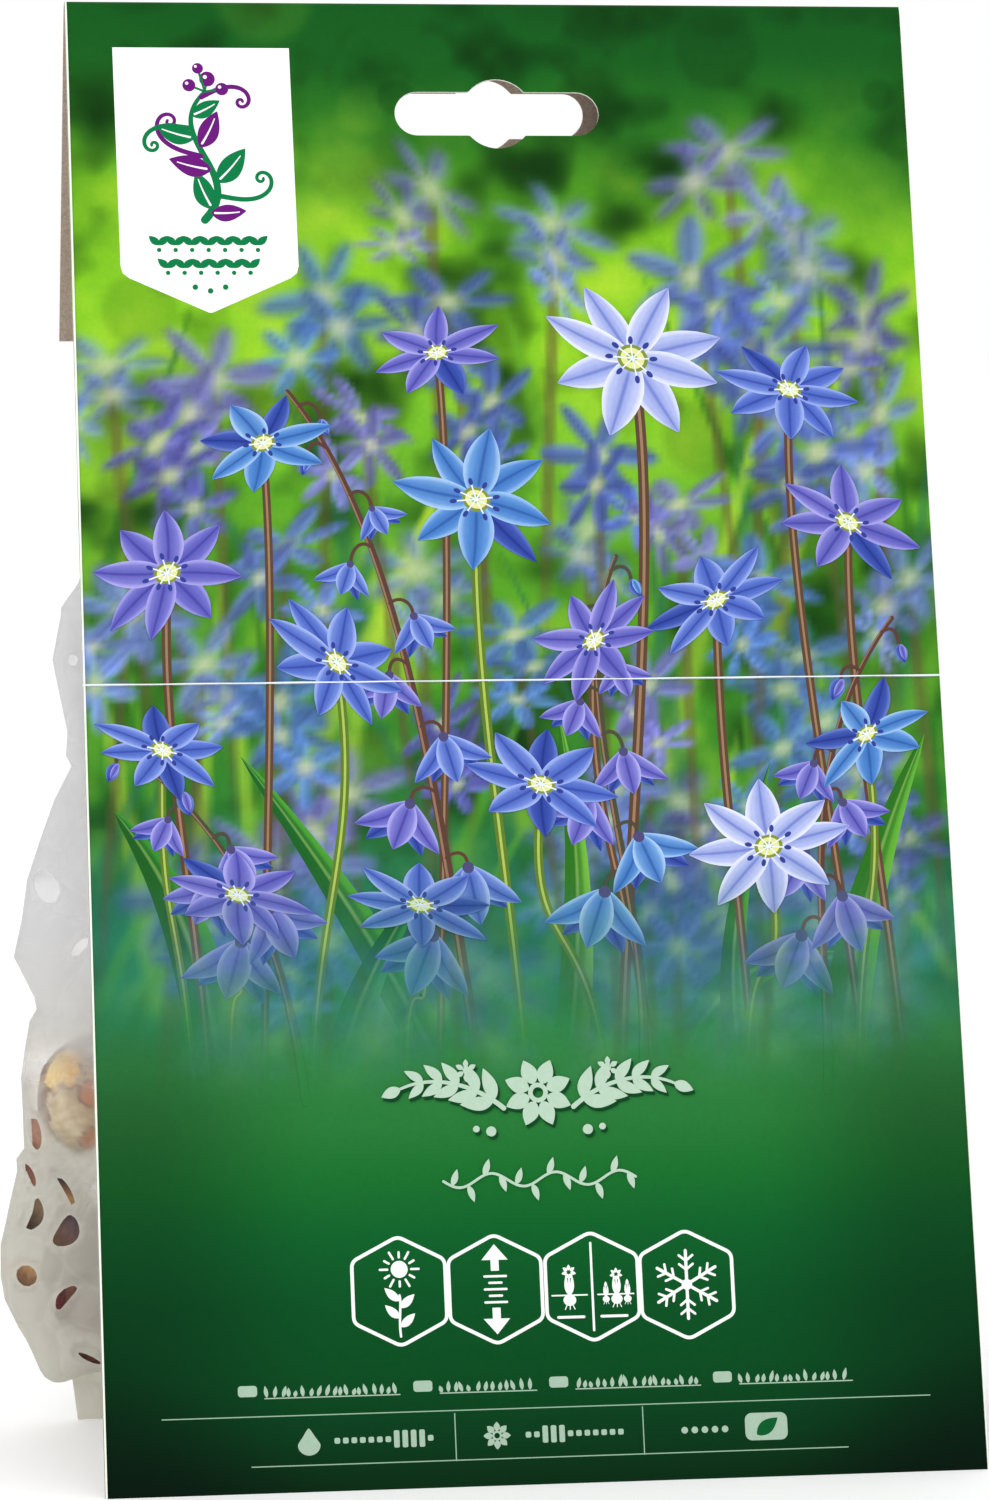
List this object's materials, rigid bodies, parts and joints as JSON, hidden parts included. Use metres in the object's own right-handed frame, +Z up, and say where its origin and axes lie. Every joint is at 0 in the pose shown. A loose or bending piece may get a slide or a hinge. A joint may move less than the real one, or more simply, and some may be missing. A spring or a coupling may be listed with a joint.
{
  "type": "flower bulb packet",
  "caption": "Self-standing retail packet of small flower bulbs: a folded header card with a hanging slot over a frosted, vented film bag.",
  "frame": {"origin": "on the ground under the middle of the packet's box", "axes": "+X to the right seen from the printed front, +Y to the back, +Z up"},
  "size_m": [0.149, 0.0756, 0.2161],
  "materials": {
    "printed_board": "printed white-lined board, satin varnish outside, bare grey-brown inside",
    "frosted_film": "frosted polyethylene film, crumpled, see-through close up",
    "clear_adhesive": "hot-melt adhesive strip",
    "bulb_tunic": "dry papery bulb skin, brown-violet with bare yellow patches"
  },
  "bodies": {
    "root": {"card": "printed_board", "bag": "frosted_film", "adhesive_strip": "clear_adhesive", "bulb_01": "bulb_tunic", "bulb_02": "bulb_tunic", "bulb_03": "bulb_tunic", "bulb_04": "bulb_tunic", "bulb_05": "bulb_tunic", "bulb_06": "bulb_tunic", "bulb_07": "bulb_tunic", "bulb_08": "bulb_tunic", "bulb_09": "bulb_tunic", "bulb_10": "bulb_tunic"}
  },
  "joints": []
}
